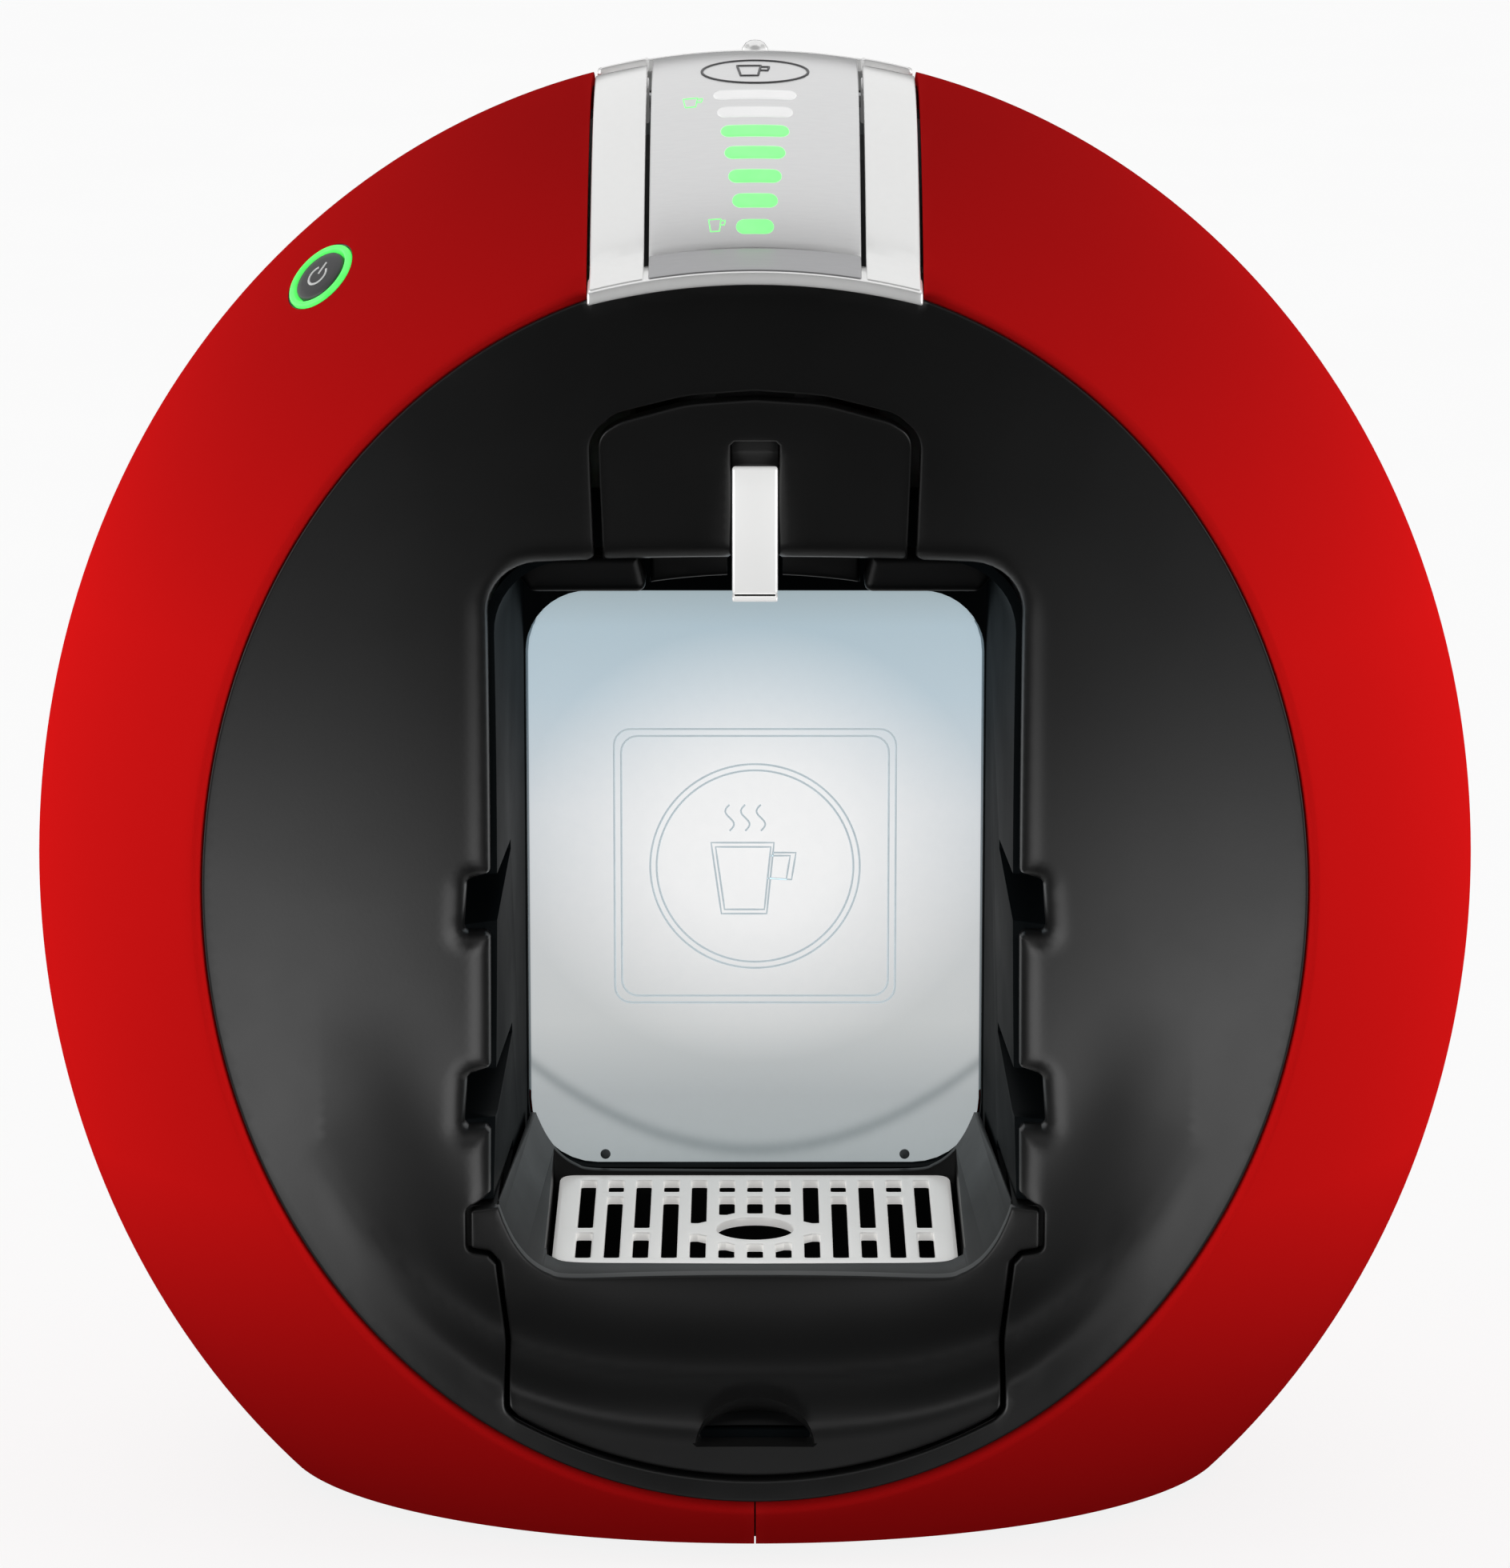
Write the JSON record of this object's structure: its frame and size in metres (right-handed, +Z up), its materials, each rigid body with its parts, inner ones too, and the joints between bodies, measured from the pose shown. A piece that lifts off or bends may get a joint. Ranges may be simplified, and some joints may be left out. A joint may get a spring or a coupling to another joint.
{
  "type": "pod coffee machine",
  "caption": "Egg-shaped single-cup pod coffee machine with dished face, cup bay, capsule drawer, locking top handle, height-adjustable drip tray and rear water tank.",
  "frame": {"origin": "centre of the bounding box in plan, at the undersides of the feet", "axes": "+Z up, front towards -Y, +X to the right seen from the front"},
  "size_m": [0.287, 0.1974, 0.2869],
  "materials": {
    "red_shell": "glossy, clear-coated",
    "black_satin": "satin black, fine grain",
    "dark_liner": "satin, slightly blue black",
    "frosted_panel": "frosted, lit from behind",
    "brushed_panel": "fine brushed",
    "green_guide": "clear light guide, lit green",
    "circuit_board": "solder mask",
    "grey_frame": "moulded",
    "steel_parts": "turned and pressed",
    "steel_grid": "satin, pressed and deburred",
    "chrome_trim": "bright plated",
    "pale_housing": "translucent white",
    "black_rubber": "matt",
    "cast_block": "as cast",
    "silicone_hose": "translucent silicone",
    "button_grey": "soft touch",
    "clear_tank": "clear moulded plastic"
  },
  "bodies": {
    "machine_body": {"left_shell": "red_shell", "right_shell": "red_shell", "front_fascia": "black_satin", "bay_liner": "dark_liner", "light_panel": "frosted_panel", "display_panel": "brushed_panel", "light_guide": "green_guide", "display_board": "circuit_board", "top_frame": "grey_frame", "handle_axle": "steel_parts", "rear_top_trim": "chrome_trim", "selector_base": "black_satin", "power_light_ring": "green_guide", "power_switch": "dark_liner", "tank_housing": "pale_housing", "tank_coupling": "grey_frame", "base_plate": "grey_frame", "chassis": "grey_frame", "foot_1": "black_rubber", "foot_2": "black_rubber", "foot_3": "black_rubber", "foot_4": "black_rubber", "base_screw_1": "steel_parts", "base_screw_2": "steel_parts", "base_screw_3": "steel_parts", "base_screw_4": "steel_parts", "pump": "steel_parts", "pump_mount_lower": "black_rubber", "pump_mount_upper": "black_rubber", "thermoblock": "cast_block", "flow_meter": "grey_frame", "tank_hose": "silicone_hose", "pump_hose": "silicone_hose", "feed_hose": "silicone_hose", "hot_hose": "silicone_hose", "control_board": "circuit_board", "mains_gland": "dark_liner"},
    "handle": {"locking_handle": "chrome_trim"},
    "brew_head_group": {"brew_head": "black_satin", "needle_plate": "steel_parts", "brew_seal": "silicone_hose"},
    "drawer": {"capsule_drawer": "black_satin", "drawer_pull": "chrome_trim"},
    "tray": {"drip_tray": "black_satin"},
    "grid": {"drip_grid": "steel_grid"},
    "button": {"power_button": "button_grey"},
    "selector": {"selector_lever": "chrome_trim"},
    "tank": {"water_tank": "clear_tank", "tank_valve": "silicone_hose"},
    "lid": {"tank_lid": "black_satin"}
  },
  "joints": [
    {"name": "handle_lift", "type": "hinge", "parent": "machine_body", "child": "handle", "pos_m": [0, -0.02629, 0.2775], "axis": [-1, 0, 0], "range_deg": [0, 65]},
    {"name": "brew_head_rise", "type": "slide", "parent": "machine_body", "child": "brew_head_group", "axis": [0, 0, 1], "range_m": [0, 0.006]},
    {"name": "drawer_slide", "type": "slide", "parent": "machine_body", "child": "drawer", "axis": [0, -1, 0], "range_m": [0, 0.05]},
    {"name": "tray_slide", "type": "slide", "parent": "machine_body", "child": "tray", "axis": [0, -1, 0], "range_m": [0, 0.09]},
    {"name": "grid_lift", "type": "slide", "parent": "tray", "child": "grid", "axis": [0, 0, 1], "range_m": [0, 0.03]},
    {"name": "power_press", "type": "slide", "parent": "machine_body", "child": "button", "axis": [0.5953, 0.4298, -0.6789], "range_m": [0, 0.0015], "stiffness_N_per_m": 600, "springref_m": -0.001},
    {"name": "selector_tilt", "type": "hinge", "parent": "machine_body", "child": "selector", "pos_m": [0, -0.00329, 0.269], "axis": [0, 1, 0], "range_deg": [-15, 15]},
    {"name": "tank_lift", "type": "slide", "parent": "machine_body", "child": "tank", "axis": [0, 0, 1], "range_m": [0, 0.12]},
    {"name": "lid_hinge", "type": "hinge", "parent": "tank", "child": "lid", "pos_m": [0, 0.06211, 0.239], "axis": [-1, 0, 0], "range_deg": [0, 80]}
  ],
  "couplings": [
    {"joint": "brew_head_rise", "follows": "handle_lift", "m_per_rad": 0.00528}
  ]
}
